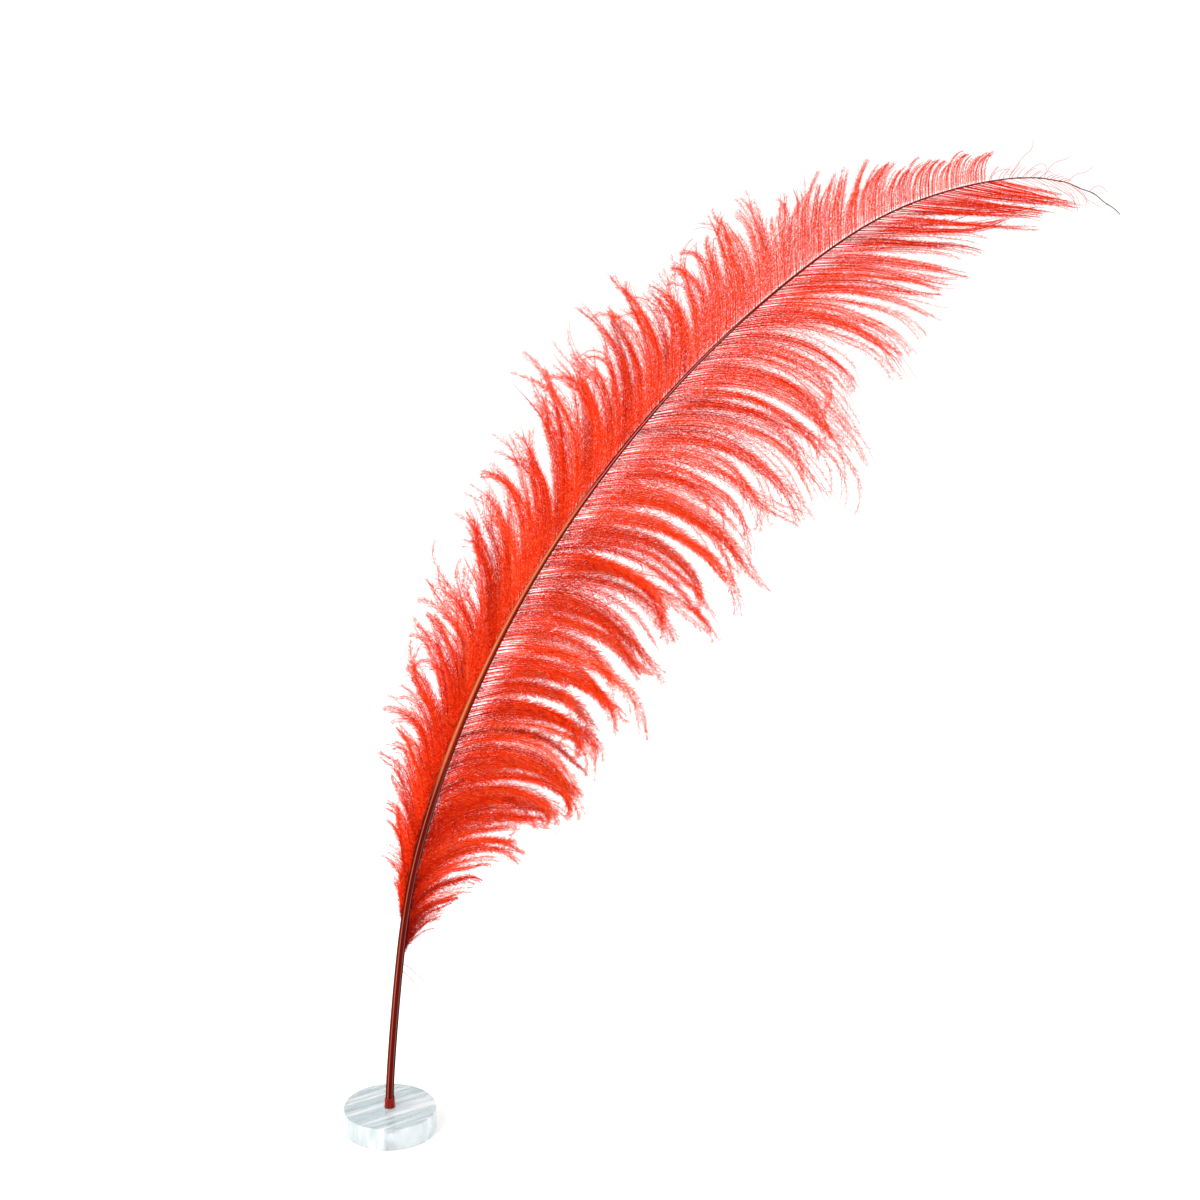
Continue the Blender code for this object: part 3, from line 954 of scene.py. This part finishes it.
# The same columns as for the leading vane. Past 90 degrees a barb points downwards.
TRAILING_BARBS = (
    (70, 18, 80, 22), (84, 26, 104, 33), (100, 34, 120, 47), (130, 52, 146, 58), (165, 70, 164, 62),
    (215, 80, 173, 65), (270, 80, 170, 72), (325, 77, 160, 77), (360, 78, 148, 73), (390, 83, 116, 58),
    (420, 90, 95, 53), (450, 98, 91, 45), (478, 106, 102, 27),
)
TRAILING_EDGES = (70, 96, 122, 150, 180, 210, 240, 270, 300, 330, 358, 384, 408, 432, 455, 478)
add_vane(
    "trailing_down",
    "trailing_lock",
    TRAILING_EDGES,
    comb(
        TRAILING_BARBS, side=1, spacing=0.8,
        tuft_span=(9.0, 15.0), tuft_pull=0.32, wisp_span=(1.5, 4.4), wisp_pull=0.54, parts_at=0.06,
        frizz=lambda root: np.interp(root, (70, 200, 380, 440, 478), (1.1, 0.85, 0.8, 0.5, 0.3)),
        seed=21, cling=0.85,
    ),
    bare=lambda root: np.full(root.size, 0.1),
    gap=lambda root: np.interp(
        root, (70, 90, 250, 330, 400, 478), (0.26, 0.25, 0.27, 0.41, 0.45, 0.6)
    ),
    reach=lambda root: np.interp(
        root, (70, 90, 120, 260, 380, 430, 478), (2.2, 3.4, 4.4, 4.0, 3.0, 2.0, 1.4)
    ),
    shy=lambda root: np.interp(root, (90, 130, 180), (0.1, 0.35, 0.72)),
    # The painted shade next to the shaft is deepest by the lowest tufts.
    shadow=lambda root: np.interp(root, (70, 90, 120, 170), (0.85, 0.6, 0.35, 0.3)),
    seed=22,
)


# ---- The worn barbs ------------------------------------------------------------------------------
# Past the vanes only worn barbs are left: a row of short stubs on the tip's upper edge, some pale curly
# hairs longer than those, a few fine ones under it, and two that hang below the lowest tuft.

STUBS = ((472.5, 10, 60, 6.5), (486, 30, 80, 5.0), (502, 60, 110, 3.0))
CURLS = ((473, 20, 130, 17), (492, 20, 120, 12), (512, 40, 150, 8))
WISPS = ((478, 106, 118, 26), (490, 112, 136, 17), (508, 128, 150, 8))
STRAYS = ((62.0, 128, 162, 15), (65.5, 124, 150, 13))
for name, barbs, side, spacing, radius, frizz, lightness, seed in (
    ("tip_stubs", STUBS, -1, 1.9, 0.06, 0.8, 0.25, 31),
    ("tip_curls", CURLS, -1, 7.0, 0.04, 2.2, 0.7, 32),
    ("tip_wisps", WISPS, 1, 2.6, 0.04, 1.2, 0.8, 33),
    ("stray_hair", STRAYS, 1, 2.6, 0.09, 0.8, 0.5, 34),
):
    # They don't gather, so the pulls are 0.
    lines = comb(
        barbs, side, spacing,
        tuft_span=(9.0, 15.0), tuft_pull=0.0, wisp_span=(1.0, 3.0), wisp_pull=0.0, parts_at=0.0,
        frizz=lambda root: np.full(root.size, frizz), seed=seed,
    )[0]
    points, walls, caps = draw_barbs(lines, radius)[:3]
    share = np.tile(np.repeat(np.linspace(0, 1, BARB_STEPS + 1), STALK_SIDES), len(lines))
    shade = np.full(len(points), lightness)
    none = np.zeros((0, 3), int)
    hairs = add_mesh(
        name,
        points,
        [(walls, 0), (caps, 0)],
        [stalk],
        {"shade": shade, "reach": share},
        lay_out(walls, caps, none, shade, share),
    )
    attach(hairs, "plume")


# ---- The lights ----------------------------------------------------------------------------------
# A white room lights everything softly. One big soft box stands high on the left in front, and a weaker
# one on the right.

world = bpy.data.worlds.new("white_room")
world.use_nodes = True
world.node_tree.nodes["Background"].inputs["Color"].default_value = (1.0, 1.0, 1.0, 1.0)
world.node_tree.nodes["Background"].inputs["Strength"].default_value = 1.15
bpy.context.scene.world = world

for name, spot, aim, power, size in (
    ("key_box", (-0.9, -1.1, 1.3), (0.1, 0.0, 0.2), 34.0, 0.8),
    ("fill_box", (1.3, -0.9, 0.7), (0.1, 0.0, 0.2), 8.0, 0.9),
):
    light = bpy.data.lights.new(name, "AREA")
    light.energy, light.size = power, size
    lamp = bpy.data.objects.new(name, light)
    bpy.context.scene.collection.objects.link(lamp)
    lamp.location = spot
    away = [s - a for s, a in zip(spot, aim)]
    flat = math.hypot(away[0], away[1])
    lamp.rotation_euler = (math.atan2(flat, away[2]), 0.0, math.atan2(away[0], -away[1]))
